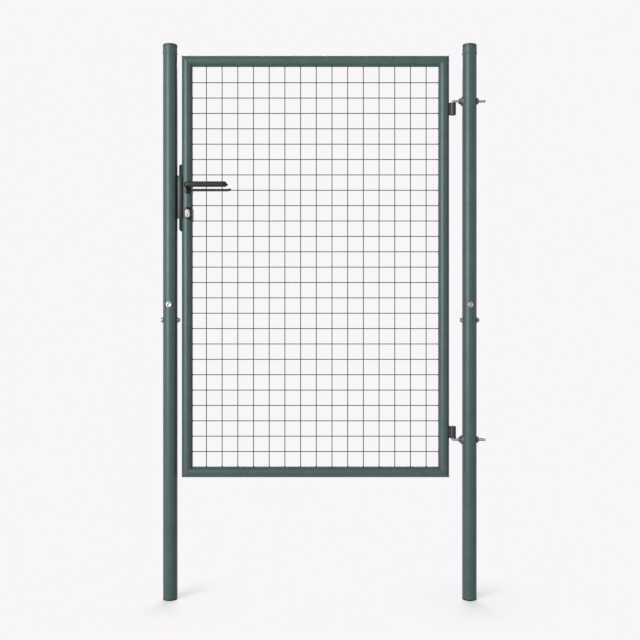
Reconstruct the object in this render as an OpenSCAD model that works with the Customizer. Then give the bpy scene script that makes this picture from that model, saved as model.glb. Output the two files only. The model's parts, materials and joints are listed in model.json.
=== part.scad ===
// Pedestrian gate: a framed welded-mesh leaf between two round posts.
// Origin: centre of the hinge post's foot. +X from the leaf to the hinge post,
// +Y to the side the leaf opens to, +Z up. Millimetres.

/* [Leaf] */
// Width of the leaf over its stiles
leaf_w = 855; // [680:1:1100]
// Height of the leaf over its rails
leaf_h = 1348; // [1050:1:1700]
// Height of the leaf's lower edge above the post feet
leaf_lift = 390; // [300:1:500]
// Outer diameter of the leaf's frame tube
frame_d = 35; // [32:0.5:42]
// Wall of the leaf's frame tube
frame_wall = 1.5; // [1:0.1:2.5]

/* [Mesh] */
// Thickness of a mesh wire
wire_t = 2.8; // [2:0.1:4]
// Spacing of the upright wires
wire_pitch_x = 50.2; // [40:0.1:75]
// Spacing of the level wires
wire_pitch_z = 49.2; // [40:0.1:75]
// Smallest space kept between the frame and its first wire
mesh_edge = 30; // [20:1:40]
// Bite of the two wire layers into each other at a weld
weld_bite = 0.2; // [0.1:0.05:0.4]

/* [Posts] */
// Outer diameter of a post
post_d = 46; // [40:0.5:60]
// Wall of a post
post_wall = 2; // [1.5:0.1:3]
// Height of a post's cap above the leaf
post_above_leaf = 36; // [20:1:80]
// Height of the joint between a post's two tubes
post_joint_z = 922; // [800:1:1000]
// Length of the spigot inside the joint
spigot_l = 160; // [120:1:220]
// Wall of the spigot
spigot_wall = 2; // [1.5:0.1:3]
// Space between the hinge post and the leaf
hinge_gap = 42; // [38:0.5:60]
// Space between the latch post and the leaf
latch_gap = 14; // [14:0.5:20]
// Wall of a post cap's skirt
cap_wall = 0.9; // [0.8:0.1:2]
// Height of a post cap
cap_h = 33; // [20:1:40]
// Thickness of a cap's top
cap_top = 3; // [2:0.5:5]
// Thickness of the plug's flange under a post
plug_flange = 4; // [3:0.5:6]
// Depth of the plug inside a post
plug_l = 14; // [8:1:25]

/* [Post joint bolts] */
// Diameter of the joint bolts
bolt_d = 8; // [6:1:10]
// Width across the flats of their heads and nuts
bolt_af = 13; // [10:1:17]
// Height of their heads
bolt_head_h = 5.3; // [4:0.1:7]
// Height of their nuts
bolt_nut_h = 6.5; // [5:0.1:8]
// Diameter of their washers
bolt_washer_d = 19; // [16:0.5:24]
// Height of the front bolt above the joint
front_bolt_rise = 20; // [12:1:40]
// Depth of the side bolt below the joint
side_bolt_drop = 29; // [12:1:40]
// Thread left standing past a front bolt's nut
front_bolt_tail = 4; // [2:0.5:8]
// Thread left standing past a side bolt's nut
side_bolt_tail = 0.8; // [0.6:0.1:0.8]

/* [Hinges] */
// Outer diameter of a hinge sleeve
sleeve_d = 22; // [20:0.5:24]
// Length of a hinge sleeve
sleeve_l = 38; // [30:1:50]
// Height of the lower sleeve's middle above the leaf's lower edge
lower_sleeve_rise = 145; // [100:1:200]
// Depth of the upper sleeve's middle below the leaf's top edge
upper_sleeve_drop = 170; // [120:1:250]
// Diameter of a hinge stud and of its pin
stud_d = 10; // [8:0.5:12]
// Length of stud past the far face of the hinge post
stud_tail = 28.5; // [24:0.5:50]
// Width across the flats of the hinge nuts
stud_af = 17; // [15:1:19]
// Height of a hinge nut
stud_nut_h = 7; // [5:0.5:9]
// Diameter of the saddle and the inner washer
saddle_d = 30; // [24:1:34]
// Thickness of the saddle over the post
saddle_t = 2.3; // [2:0.1:4]
// Diameter of the outer washer
outer_washer_d = 22; // [20:0.5:30]

/* [Lock] */
// Depth of the lever's spindle below the leaf's top edge
spindle_drop = 420; // [350:1:500]
// Distance from the spindle down to the key plug
key_distance = 92; // [72:1:110]
// Distance from the leaf's outer edge in to the spindle
spindle_inset = 21.8; // [18:0.1:24]
// Height of the lock case
case_h = 213; // [190:1:240]
// Height of the case above the spindle
case_rise = 70.5; // [50:0.5:90]
// Thickness of the lock case
case_t = 22; // [18:0.5:24]
// How far the lock's front plate stands past the leaf's edge
case_proud = 7.2; // [5:0.1:9]
// Thickness of the lock's front plate
faceplate_t = 3; // [2:0.5:4]
// Height of the latch bolt
latch_h = 16; // [12:0.5:20]
// Thickness of the latch bolt
latch_t = 12; // [8:0.5:14]
// How far the latch bolt stands out of the front plate
latch_out = 3.3; // [2:0.1:5]
// Diameter of the round plug of the lock cylinder
plug_d = 16.5; // [15:0.5:19]
// Width of the cylinder's neck above the plug
cylinder_neck_w = 15; // [8:0.5:16]
// Height of the cylinder over plug and neck
cylinder_h = 26.5; // [25:0.5:36]
// Length of the cylinder from front to rear
cylinder_l = 58; // [52:1:70]

/* [Levers] */
// Length of a lever from the spindle to its tip
lever_l = 132; // [105:1:160]
// Height of the front lever's bar
front_lever_h = 17.5; // [12:0.5:20]
// Height of the rear lever's bar
rear_lever_h = 7.5; // [7:0.5:20]
// Thickness of a lever's bar
lever_t = 12; // [9:0.5:14]
// Distance from the leaf's middle plane to the middle of a bar
lever_stand = 65; // [55:0.5:80]
// Outer radius of the bend at a lever's tip
tip_bend_r = 18; // [16:0.5:24]
// How far a lever's tip turns back towards the leaf
tip_return = 27; // [24:0.5:30]
// Diameter of a lever's neck
neck_d = 14; // [12:0.5:18]
// Width across the square spindle
spindle_w = 8; // [7:0.5:10]

/* [Strike] */
// Height of the strike plate
strike_h = 136; // [110:1:160]
// Height of the strike plate above the spindle
strike_rise = 35; // [25:1:50]
// Thickness of the strike plate
strike_t = 1.5; // [1.5:0.1:2]
// Space between the lock case and the stop
stop_gap = 5; // [5:0.1:6]
// How far the stop reaches from the latch post
stop_reach = 15.5; // [12:0.1:15.9]

/* [Hidden] */
$fn = 64;
tiny = 0.01;
cut = 1; // overrun of a cutting tool
seat = 0.05; // hairline left where a flat face meets a round one
fit = 0.25; // clearance around a fixed insert
run_fit = 0.08; // radial clearance of a turning fit
slide_fit = 0.3; // clearance around a sliding bolt

post_r = post_d / 2;
frame_r = frame_d / 2;
sleeve_r = sleeve_d / 2;
stud_r = stud_d / 2;
leaf_right = -(post_r + hinge_gap);
leaf_left = leaf_right - leaf_w;
leaf_top = leaf_lift + leaf_h;
post_top = leaf_top + post_above_leaf;
latch_post_x = leaf_left - latch_gap - post_r;
latch_stile_x = leaf_left + frame_r;
hinge_x = leaf_right + sleeve_r;

// upright wires fill the frame from side to side, level wires from bottom to top
opening_w = leaf_w - 2 * frame_d;
opening_h = leaf_h - 2 * frame_d;
wires_across = floor((opening_w - 2 * mesh_edge) / wire_pitch_x);
wires_up = floor((opening_h - 2 * mesh_edge) / wire_pitch_z);
mesh_mid_x = (leaf_left + leaf_right) / 2 + 2.6;
mesh_mid_z = (leaf_lift + leaf_top) / 2 - 1.7;
wire_y = (wire_t - weld_bite) / 2;

spigot_d = post_d - 2 * post_wall - 2 * fit;
bolt_hole_d = bolt_d + 0.6;
bolt_washer_t = 1.6;
front_bolt_z = post_joint_z + front_bolt_rise;
side_bolt_z = post_joint_z - side_bolt_drop;
bolt_span = post_d + 2 * seat + 2 * bolt_washer_t; // over both washers

upper_sleeve_z = leaf_top - upper_sleeve_drop;
lower_sleeve_z = leaf_lift + lower_sleeve_rise;
lower_float = 0.3; // the lower sleeve turns just above its stud
upper_float = 1; // the upper stud lies just above its sleeve
upper_stud_z = upper_sleeve_z + sleeve_l / 2 + upper_float + stud_r;
lower_stud_z = lower_sleeve_z - sleeve_l / 2 - lower_float - stud_r;
pin_short = 2; // how far a pin ends inside its sleeve
stud_hole_d = stud_d + 0.6;
washer_t = 2;

spindle_z = leaf_top - spindle_drop;
spindle_x = leaf_left + spindle_inset;
key_z = spindle_z - key_distance;
case_top = spindle_z + case_rise;
case_bottom = case_top - case_h;
case_left = leaf_left - case_proud;
case_right = latch_stile_x + sqrt(pow(frame_r - frame_wall, 2) - pow(case_t / 2, 2)) - 0.5;
hub_d = 13;
neck_r = neck_d / 2;
spindle_reach = frame_r + 20; // the spindle ends inside the levers' necks
deadbolt_h = 20;
deadbolt_l = 14;
latch_l = 20.5;
bolt_recess = 0.3; // the dead bolt lies this far inside the front plate
case_top_r = 5; // the lock's outer corners are rounded, the lower one more
case_bottom_r = 9;
cover_t = 6; // standing height of a cover over the frame tube
cover_y = 9; // the covers wrap the tube down to this distance from its middle
cover_corner = 6;
cylinder_cover_w = 29;
cylinder_cover_h = 45;
spindle_cover_w = 24;
spindle_cover_h = 37;

strike_top = spindle_z + strike_rise;
strike_x = latch_post_x + post_r + seat;
stop_y = -(case_t / 2 + stop_gap);
strike_back_y = 14;
strike_window_h = latch_h + 8;
strike_window_t = latch_t + 4;
strike_screw_d = 5;
strike_head_d = 9;
strike_screw_l = 12;

green = [0.24, 0.33, 0.32];
zinc = [0.75, 0.78, 0.77];
black = [0.12, 0.13, 0.14];
wire_grey = [0.42, 0.44, 0.46];

// ---- shared shapes

// points along an arc about c, from angle a0 to a1
function arc(c, r, a0, a1, steps = 8) =
    [for (i = [0 : steps]) c + r * [cos(a0 + (a1 - a0) * i / steps), sin(a0 + (a1 - a0) * i / steps)]];

// a bar along X, Y or Z through a point, round or with few sides
module along_x(d, x0, x1, sides = $fn) {
    translate([x0, 0, 0]) rotate([0, 90, 0]) cylinder(d = d, h = x1 - x0, $fn = sides);
}

module along_y(d, y0, y1, sides = $fn) {
    translate([0, y0, 0]) rotate([-90, 0, 0]) cylinder(d = d, h = y1 - y0, $fn = sides);
}

module tube(d, wall, h) {
    difference() {
        cylinder(d = d, h = h);
        translate([0, 0, -cut]) cylinder(d = d - 2 * wall, h = h + 2 * cut);
    }
}

// a six-sided prism given by its width across the flats, standing on z = 0
module hexagon(af, h) {
    rotate([0, 0, 30]) cylinder(d = af / cos(30), h = h, $fn = 6);
}

module nut(af, d, h) {
    difference() {
        hexagon(af, h);
        translate([0, 0, -cut]) cylinder(d = d + 2 * seat, h = h + 2 * cut);
    }
}

module washer(outer, inner, t) {
    difference() {
        cylinder(d = outer, h = t);
        translate([0, 0, -cut]) cylinder(d = inner, h = t + 2 * cut);
    }
}

// turns a shape that stands on z = 0 so that it stands out along -Y or +X
module facing_front() {
    rotate([90, 0, 0]) children();
}

module facing_right() {
    rotate([0, 90, 0]) children();
}

// draws its children for the front, or mirrored for the rear
module on_side(side) {
    if (side == "front") children();
    else mirror([0, 1, 0]) children();
}

// ---- posts, drawn about their own axis

module post_holes() {
    translate([0, 0, front_bolt_z]) along_y(bolt_hole_d, -post_d, post_d);
    translate([0, 0, side_bolt_z]) along_x(bolt_hole_d, -post_d, post_d);
}

module post_lower_tube() {
    difference() {
        translate([0, 0, plug_flange]) tube(post_d, post_wall, post_joint_z - plug_flange);
        post_holes();
    }
}

module post_upper_tube() {
    difference() {
        translate([0, 0, post_joint_z]) tube(post_d, post_wall, post_top - cap_top - post_joint_z);
        post_holes();
    }
}

module post_spigot() {
    color(zinc) difference() {
        translate([0, 0, post_joint_z - spigot_l / 2]) tube(spigot_d, spigot_wall, spigot_l);
        post_holes();
    }
}

module post_cap() {
    inside_r = post_r + 0.1;
    outside_r = inside_r + cap_wall;
    bevel = 2;
    color(green) translate([0, 0, post_top - cap_h]) rotate_extrude() polygon([
        [inside_r, 0], [outside_r, 0], [outside_r, cap_h - bevel], [outside_r - bevel, cap_h],
        [0, cap_h], [0, cap_h - cap_top], [inside_r, cap_h - cap_top]]);
}

module post_foot_plug() {
    color(black) {
        cylinder(d = post_d, h = plug_flange);
        cylinder(d = post_d - 2 * post_wall - 2 * fit, h = plug_flange + plug_l);
    }
}

// one through bolt along +Z, with its head's underside at z = 0 on the first washer
module through_bolt(tail) {
    translate([0, 0, -bolt_head_h]) hexagon(bolt_af, bolt_head_h);
    translate([0, 0, -tiny]) cylinder(d = bolt_d, h = bolt_span + bolt_nut_h + tail + tiny);
}

// stand children at the head of the bolt that runs to the rear, or of the one to the right
module at_front_bolt() {
    translate([0, -bolt_span / 2, front_bolt_z]) rotate([-90, 0, 0]) children();
}

module at_side_bolt() {
    translate([-bolt_span / 2, 0, side_bolt_z]) rotate([0, 90, 0]) children();
}

module joint_bolts() {
    color(zinc) {
        at_front_bolt() through_bolt(front_bolt_tail);
        at_side_bolt() through_bolt(side_bolt_tail);
    }
}

module joint_nut() {
    translate([0, 0, bolt_span]) nut(bolt_af, bolt_d, bolt_nut_h);
}

module joint_nuts() {
    color(zinc) {
        at_front_bolt() joint_nut();
        at_side_bolt() joint_nut();
    }
}

module joint_washer_pair() {
    washer(bolt_washer_d, bolt_hole_d, bolt_washer_t);
    translate([0, 0, bolt_span - bolt_washer_t])
        washer(bolt_washer_d, bolt_hole_d, bolt_washer_t);
}

module joint_washers() {
    color(zinc) {
        at_front_bolt() joint_washer_pair();
        at_side_bolt() joint_washer_pair();
    }
}

module at_latch_post() {
    translate([latch_post_x, 0, 0]) children();
}

// ---- hinge post

module stud_holes() {
    for (z = [lower_stud_z, upper_stud_z])
        translate([0, 0, z]) along_x(stud_hole_d, -post_d, post_d);
}

module hinge_post_lower() {
    color(green) difference() {
        post_lower_tube();
        stud_holes();
    }
}

module hinge_post_upper() {
    color(green) difference() {
        post_upper_tube();
        stud_holes();
    }
}

// ---- latch post

// the pocket that the latch bolt enters, and the pilot holes of the strike's screws
module strike_pocket() {
    translate([strike_x - 3 * post_wall, -strike_window_t / 2, spindle_z - strike_window_h / 2])
        cube([3 * post_wall + strike_t + cut, strike_window_t, strike_window_h]);
}

module at_strike_screws() {
    for (z = [strike_top - 15, strike_top - strike_h + 15])
        translate([strike_x, 0, z]) children();
}

module latch_post_upper() {
    color(green) difference() {
        at_latch_post() post_upper_tube();
        strike_pocket();
        at_strike_screws() along_x(strike_screw_d + 2 * seat, -3 * post_wall, cut);
    }
}

module strike_plate() {
    color(black) difference() {
        translate([0, 0, strike_top - strike_h]) {
            translate([strike_x, stop_y - strike_t, 0])
                cube([strike_t, strike_back_y - stop_y + strike_t, strike_h]);
            translate([strike_x, stop_y - strike_t, 0])
                cube([stop_reach, strike_t, strike_h]);
        }
        strike_pocket();
        at_strike_screws() strike_screw(seat, strike_t + cut);
    }
}

// a countersunk screw along -X whose head fills the strike plate; grow widens it into its hole
module strike_screw(grow, head_end) {
    countersink = 0.9 * strike_t;
    along_x(strike_screw_d + 2 * grow, -strike_screw_l - grow, head_end - tiny);
    translate([strike_t - countersink, 0, 0]) rotate([0, 90, 0])
        cylinder(d1 = strike_screw_d + 2 * grow, d2 = strike_head_d + 2 * grow, h = countersink);
}

module strike_screws() {
    color(zinc) at_strike_screws() strike_screw(0, strike_t);
}

// ---- hinges on the post

// a threaded stud through the post, bent through a right angle into the hinge pin.
// turn is 1 where the pin points up and -1 where it points down
module hinge_stud(z, turn) {
    pin_reach = stud_r + sleeve_l - pin_short;
    bend_r = stud_r + lower_float / 2; // the bend ends before the sleeve begins
    color(zinc) translate([0, 0, z]) {
        along_x(stud_d, hinge_x + bend_r, post_r + stud_tail);
        translate([hinge_x + bend_r, 0, turn * bend_r]) rotate([90, 0, 0])
            rotate([0, 0, turn > 0 ? 180 : 90])
                rotate_extrude(angle = 90) translate([bend_r, 0]) circle(d = stud_d);
        translate([hinge_x, 0, turn > 0 ? bend_r : -pin_reach])
            cylinder(d = stud_d, h = pin_reach - bend_r);
    }
}

module hinge_saddle(z) {
    color(zinc) translate([0, 0, z]) difference() {
        along_x(saddle_d, -(post_r + saddle_t), -post_r / 2);
        along_x(stud_hole_d, -post_d, 0);
        translate([0, 0, -saddle_d]) cylinder(r = post_r + seat, h = 2 * saddle_d);
    }
}

module hinge_washers(z) {
    color(zinc) translate([0, 0, z]) {
        translate([-(post_r + saddle_t + washer_t), 0, 0])
            facing_right() washer(saddle_d, stud_hole_d, washer_t);
        translate([post_r + seat, 0, 0])
            facing_right() washer(outer_washer_d, stud_hole_d, washer_t);
    }
}

module hinge_nuts(z) {
    color(zinc) translate([0, 0, z]) {
        translate([-(post_r + saddle_t + washer_t + stud_nut_h), 0, 0])
            facing_right() nut(stud_af, stud_d, stud_nut_h);
        translate([post_r + seat + washer_t, 0, 0])
            facing_right() nut(stud_af, stud_d, stud_nut_h);
    }
}

// ---- leaf frame: round tubes with mitred corners

// an upright between the two mitres; inward is 1 where the leaf's middle lies towards +X
module stile(outer_x, inward) {
    intersection() {
        translate([outer_x + inward * frame_r, 0, leaf_lift]) tube(frame_d, frame_wall, leaf_h);
        rotate([90, 0, 0]) translate([0, 0, -frame_d]) linear_extrude(2 * frame_d) polygon([
            [outer_x, leaf_lift], [outer_x + inward * frame_d, leaf_lift + frame_d],
            [outer_x + inward * frame_d, leaf_top - frame_d], [outer_x, leaf_top]]);
    }
}

module rail(outer_z, inward) {
    color(green) intersection() {
        translate([leaf_left, 0, outer_z + inward * frame_r])
            facing_right() tube(frame_d, frame_wall, leaf_w);
        rotate([90, 0, 0]) translate([0, 0, -frame_d]) linear_extrude(2 * frame_d) polygon([
            [leaf_left, outer_z], [leaf_left + frame_d, outer_z + inward * frame_d],
            [leaf_right - frame_d, outer_z + inward * frame_d], [leaf_right, outer_z]]);
    }
}

module hinge_stile() {
    color(green) stile(leaf_right, -1);
}

// the latch stile is slotted for the lock case and drilled for the spindle and cylinder
module latch_stile() {
    color(green) difference() {
        stile(leaf_left, 1);
        translate([leaf_left - cut, -case_t / 2 - fit, case_bottom - fit])
            cube([case_right - leaf_left + cut + fit, case_t + 2 * fit, case_h + 2 * fit]);
        translate([spindle_x, 0, spindle_z]) along_y(neck_d + 2 * fit, -frame_d, frame_d);
        cylinder_profile(fit, 2 * frame_d);
    }
}

// ---- mesh: level wires welded across upright wires

module mesh_panel() {
    inner_left = leaf_left + frame_d + seat;
    inner_bottom = leaf_lift + frame_d + seat;
    length_x = opening_w - 2 * seat;
    length_z = opening_h - 2 * seat;
    color(wire_grey) {
        for (i = [0 : wires_across])
            translate([mesh_mid_x + (i - wires_across / 2) * wire_pitch_x - wire_t / 2,
                -wire_y - wire_t / 2, inner_bottom])
                cube([wire_t, wire_t, length_z]);
        for (k = [0 : wires_up])
            translate([inner_left, wire_y - wire_t / 2,
                mesh_mid_z + (k - wires_up / 2) * wire_pitch_z - wire_t / 2])
                cube([length_x, wire_t, wire_t]);
    }
}

module hinge_sleeve(z) {
    color(black) translate([hinge_x, 0, z - sleeve_l / 2])
        tube(sleeve_d - 2 * seat, sleeve_r - seat - stud_r - run_fit, sleeve_l);
}

// ---- lock

// the outline of the lock cylinder: a round plug with a narrower neck above it
module cylinder_profile(grow, length) {
    neck_top = cylinder_h - plug_d / 2 - cylinder_neck_w / 2;
    translate([spindle_x, length / 2, key_z]) facing_front() linear_extrude(length) {
        circle(d = plug_d + 2 * grow);
        translate([-cylinder_neck_w / 2 - grow, 0]) square([cylinder_neck_w + 2 * grow, neck_top]);
        translate([0, neck_top]) circle(d = cylinder_neck_w + 2 * grow);
    }
}

module latch_shape(grow) {
    translate([case_left - latch_out - grow, -latch_t / 2 - grow, spindle_z - latch_h / 2 - grow])
        cube([latch_l + grow, latch_t + 2 * grow, latch_h + 2 * grow]);
}

module deadbolt_shape(grow) {
    translate([case_left + bolt_recess - grow, -latch_t / 2 - grow, key_z - deadbolt_h / 2 - grow])
        cube([deadbolt_l + 2 * grow, latch_t + 2 * grow, deadbolt_h + 2 * grow]);
}

// a slice of the lock from x0 to x1, cut from its side outline with the rounded outer corners
module lock_slice(x0, x1) {
    intersection() {
        translate([x0, -case_t / 2, case_bottom]) cube([x1 - x0, case_t, case_h]);
        translate([0, case_t / 2, 0]) facing_front() linear_extrude(case_t) polygon(concat(
            arc([case_left + case_bottom_r, case_bottom + case_bottom_r], case_bottom_r, 180, 270),
            [[case_right, case_bottom], [case_right, case_top]],
            arc([case_left + case_top_r, case_top - case_top_r], case_top_r, 90, 180)));
    }
}

module lock_case() {
    color(black) difference() {
        lock_slice(case_left + faceplate_t, case_right);
        translate([spindle_x, 0, spindle_z]) along_y(hub_d + 2 * run_fit, -frame_d, frame_d);
        cylinder_profile(seat, 2 * frame_d);
        translate([case_left - cut, -latch_t / 2 - slide_fit, spindle_z - latch_h / 2 - slide_fit])
            cube([spindle_x - case_left + cut, latch_t + 2 * slide_fit, latch_h + 2 * slide_fit]);
        deadbolt_shape(slide_fit);
    }
}

module lock_front_plate() {
    color(black) difference() {
        lock_slice(case_left, case_left + faceplate_t);
        latch_shape(slide_fit);
        deadbolt_shape(slide_fit);
    }
}

module latch_bolt() {
    color(zinc) latch_shape(0);
}

module dead_bolt() {
    color(zinc) deadbolt_shape(0);
}

module lock_cylinder() {
    color(zinc) cylinder_profile(0, cylinder_l);
}

// a rounded cover that saddles the frame tube, w wide and h high about x, z
module tube_cover(w, h, x, z) {
    color(black) difference() {
        translate([x, -cover_y, z]) facing_front()
            linear_extrude(frame_r + cover_t - cover_y) offset(r = cover_corner)
                square([w - 2 * cover_corner, h - 2 * cover_corner], center = true);
        translate([latch_stile_x, 0, leaf_lift]) cylinder(r = frame_r + seat, h = leaf_h);
        translate([spindle_x, 0, spindle_z]) along_y(neck_d + 2 * run_fit, -frame_d, 0);
        cylinder_profile(fit, 4 * frame_d);
    }
}

module cylinder_cover(side) {
    on_side(side) tube_cover(cylinder_cover_w, cylinder_cover_h, spindle_x + 3, key_z + 3);
}

module spindle_cover(side) {
    on_side(side) tube_cover(spindle_cover_w, spindle_cover_h, spindle_x, spindle_z - 4);
}

// ---- levers

// the lever from above: out from its neck, along the leaf and back at the tip
module lever_plan() {
    face_y = -(lever_stand + lever_t / 2);
    elbow_r = lever_t;
    neck_side = neck_r - 1;
    tip_centre = [lever_l - tip_bend_r, face_y + tip_bend_r];
    polygon(concat(
        [[-neck_side, face_y + lever_t + 4]],
        arc([elbow_r - neck_side, face_y + elbow_r], elbow_r, 180, 270),
        arc(tip_centre, tip_bend_r, 270, 360),
        [[lever_l, face_y + tip_return], [lever_l - lever_t, face_y + tip_return]],
        arc(tip_centre, tip_bend_r - lever_t, 360, 270),
        [[neck_side, face_y + lever_t], [neck_side, face_y + lever_t + 4]]));
}

module lever(side) {
    bar_h = side == "front" ? front_lever_h : rear_lever_h;
    on_side(side) color(black) translate([spindle_x, 0, spindle_z]) difference() {
        union() {
            along_y(neck_d, -lever_stand, -(frame_r + 1));
            translate([0, 0, -bar_h / 2]) linear_extrude(bar_h) lever_plan();
        }
        translate([-spindle_w / 2 - seat, -(spindle_reach + 1), -spindle_w / 2 - seat])
            cube([spindle_w + 2 * seat, spindle_reach + 1, spindle_w + 2 * seat]);
    }
}

// the square spindle with the round hub that turns in the lock case
module spindle() {
    color(zinc) translate([spindle_x, 0, spindle_z]) {
        translate([-spindle_w / 2, -spindle_reach, -spindle_w / 2])
            cube([spindle_w, 2 * spindle_reach, spindle_w]);
        along_y(hub_d, -case_t / 2 + 0.2, case_t / 2 - 0.2);
    }
}

hinge_post_lower();
hinge_post_upper();
post_spigot();  // hinge_post_spigot
post_cap();  // hinge_post_cap
post_foot_plug();  // hinge_post_foot_plug
joint_bolts();  // hinge_post_joint_bolts
joint_nuts();  // hinge_post_joint_nuts
joint_washers();  // hinge_post_joint_washers
color(green) at_latch_post() post_lower_tube();  // latch_post_lower
latch_post_upper();
at_latch_post() post_spigot();  // latch_post_spigot
at_latch_post() post_cap();  // latch_post_cap
at_latch_post() post_foot_plug();  // latch_post_foot_plug
at_latch_post() joint_bolts();  // latch_post_joint_bolts
at_latch_post() joint_nuts();  // latch_post_joint_nuts
at_latch_post() joint_washers();  // latch_post_joint_washers
hinge_stud(upper_stud_z, -1);  // upper_hinge_stud
hinge_saddle(upper_stud_z);  // upper_hinge_saddle
hinge_washers(upper_stud_z);  // upper_hinge_washers
hinge_nuts(upper_stud_z);  // upper_hinge_nuts
hinge_stud(lower_stud_z, 1);  // lower_hinge_stud
hinge_saddle(lower_stud_z);  // lower_hinge_saddle
hinge_washers(lower_stud_z);  // lower_hinge_washers
hinge_nuts(lower_stud_z);  // lower_hinge_nuts
strike_plate();
strike_screws();
rail(leaf_top, -1);  // top_rail
rail(leaf_lift, 1);  // bottom_rail
hinge_stile();
latch_stile();
mesh_panel();
hinge_sleeve(upper_sleeve_z);  // upper_hinge_sleeve
hinge_sleeve(lower_sleeve_z);  // lower_hinge_sleeve
lock_case();
lock_front_plate();
dead_bolt();
lock_cylinder();
cylinder_cover("front");  // front_cylinder_cover
cylinder_cover("rear");  // rear_cylinder_cover
spindle_cover("front");  // front_spindle_cover
spindle_cover("rear");  // rear_spindle_cover
latch_bolt();
lever("front");  // front_lever
lever("rear");  // rear_lever
spindle();
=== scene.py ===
"""Looks of a pedestrian gate: a welded-mesh leaf in a round tube frame between two round posts.

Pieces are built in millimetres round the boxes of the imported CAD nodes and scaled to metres
when they become objects. X runs from the leaf to the hinge post, Y to the side that the leaf
opens to, Z up.
"""

import json
import math

import bmesh
import bpy
from mathutils import Matrix, Vector, noise


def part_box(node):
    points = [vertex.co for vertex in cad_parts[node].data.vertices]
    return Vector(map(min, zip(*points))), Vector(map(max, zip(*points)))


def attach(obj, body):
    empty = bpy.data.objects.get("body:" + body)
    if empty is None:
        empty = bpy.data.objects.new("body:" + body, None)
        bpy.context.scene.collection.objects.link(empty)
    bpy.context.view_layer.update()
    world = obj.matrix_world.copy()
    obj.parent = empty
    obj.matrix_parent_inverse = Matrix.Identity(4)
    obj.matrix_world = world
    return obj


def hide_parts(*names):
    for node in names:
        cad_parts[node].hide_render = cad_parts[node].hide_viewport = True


MM = 0.001
UP = Vector((0, 0, 1))
RIGHT = Vector((1, 0, 0))
REAR = Vector((0, 1, 0))

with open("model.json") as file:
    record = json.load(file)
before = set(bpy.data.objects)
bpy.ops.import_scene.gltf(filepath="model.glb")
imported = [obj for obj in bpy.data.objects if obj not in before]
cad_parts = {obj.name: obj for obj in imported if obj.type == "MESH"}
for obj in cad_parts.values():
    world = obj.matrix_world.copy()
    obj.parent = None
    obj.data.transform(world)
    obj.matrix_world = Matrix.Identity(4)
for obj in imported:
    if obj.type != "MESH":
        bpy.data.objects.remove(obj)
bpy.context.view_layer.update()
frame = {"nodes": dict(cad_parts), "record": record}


# ---- places, taken from the CAD


def box(node):
    """Lowest corner, highest corner and centre of a CAD node, in millimetres."""
    low, high = (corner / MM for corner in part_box(node))
    return low, high, (low + high) / 2


# turns Z to the right and to the front or rear; a shape drawn upright stays upright
FACING_RIGHT = Matrix(((0, 0, 1), (1, 0, 0), (0, 1, 0))).to_4x4()
FACING_FRONT = Matrix(((1, 0, 0), (0, 0, -1), (0, 1, 0))).to_4x4()
FACING_REAR = Matrix(((-1, 0, 0), (0, 0, 1), (0, 1, 0))).to_4x4()


def at(x, y, z, turn=Matrix.Identity(4)):
    """The place of a shape moved to a point, after turn."""
    return Matrix.Translation((x, y, z)) @ turn


# ---- outlines: lists of 2D points


def arc(centre, radius, start, end, steps):
    """Points along an arc about centre, from the angle start to the angle end, in degrees."""
    turns = [math.radians(start + (end - start) * i / steps) for i in range(steps + 1)]
    return [(centre[0] + radius * math.cos(t), centre[1] + radius * math.sin(t)) for t in turns]


def rounded(corners, radius, steps=4):
    """The closed outline with every corner rounded. radius is one number or one for each corner."""
    points = [Vector(p) for p in corners]
    radii = radius if isinstance(radius, (list, tuple)) else [radius] * len(points)
    outline = []
    for i, corner in enumerate(points):
        if radii[i] == 0:
            outline.append(tuple(corner))
            continue
        before = (points[i - 1] - corner).normalized()
        after = (points[(i + 1) % len(points)] - corner).normalized()
        half = before.angle(after) / 2
        centre = corner + (before + after).normalized() * radii[i] / math.sin(half)
        first = corner + before * radii[i] / math.tan(half) - centre
        last = corner + after * radii[i] / math.tan(half) - centre
        for k in range(steps + 1):
            point = centre + first.slerp(last, k / steps) * radii[i]
            outline.append(tuple(point))
    return outline


def inset(outline, distance):
    """The outline moved inwards by distance, for an outline that runs anticlockwise."""
    count = len(outline)
    moved = []
    for i, point in enumerate(outline):
        before, after = Vector(outline[i - 1]), Vector(outline[(i + 1) % count])
        here = Vector(point)
        edges = [(b - a).normalized() for a, b in ((before, here), (here, after))]
        normals = [Vector((-e.y, e.x)) for e in edges]
        bisector = (normals[0] + normals[1]).normalized()
        stretch = 1 / max(bisector.dot(normals[0]), 0.5)
        moved.append(tuple(here + bisector * distance * stretch))
    return moved


# ---- solids

RIM_STEPS = 3
THREAD_SEGMENTS, THREAD_STEPS = 24, 6  # steps of a thread round its axis and along one pitch


def along(origin, direction):
    """The place of a shape whose Z axis runs from origin in direction."""
    return Matrix.Translation(origin) @ Vector(direction).to_track_quat("Z", "Y").to_matrix().to_4x4()


def skin(bm, rings, wrap=False):
    """One closed skin over rings of points, each joined to the next. wrap joins the last to the first."""
    loops = [[bm.verts.new(p) for p in ring] for ring in rings]
    pairs = list(zip(loops, loops[1:] + ([loops[0]] if wrap else [])))
    for near, far in pairs:
        for i in range(len(near)):
            bm.faces.new((near[i - 1], near[i], far[i], far[i - 1]))
    if not wrap:
        bm.faces.new(reversed(loops[0]))
        bm.faces.new(loops[-1])


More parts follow.
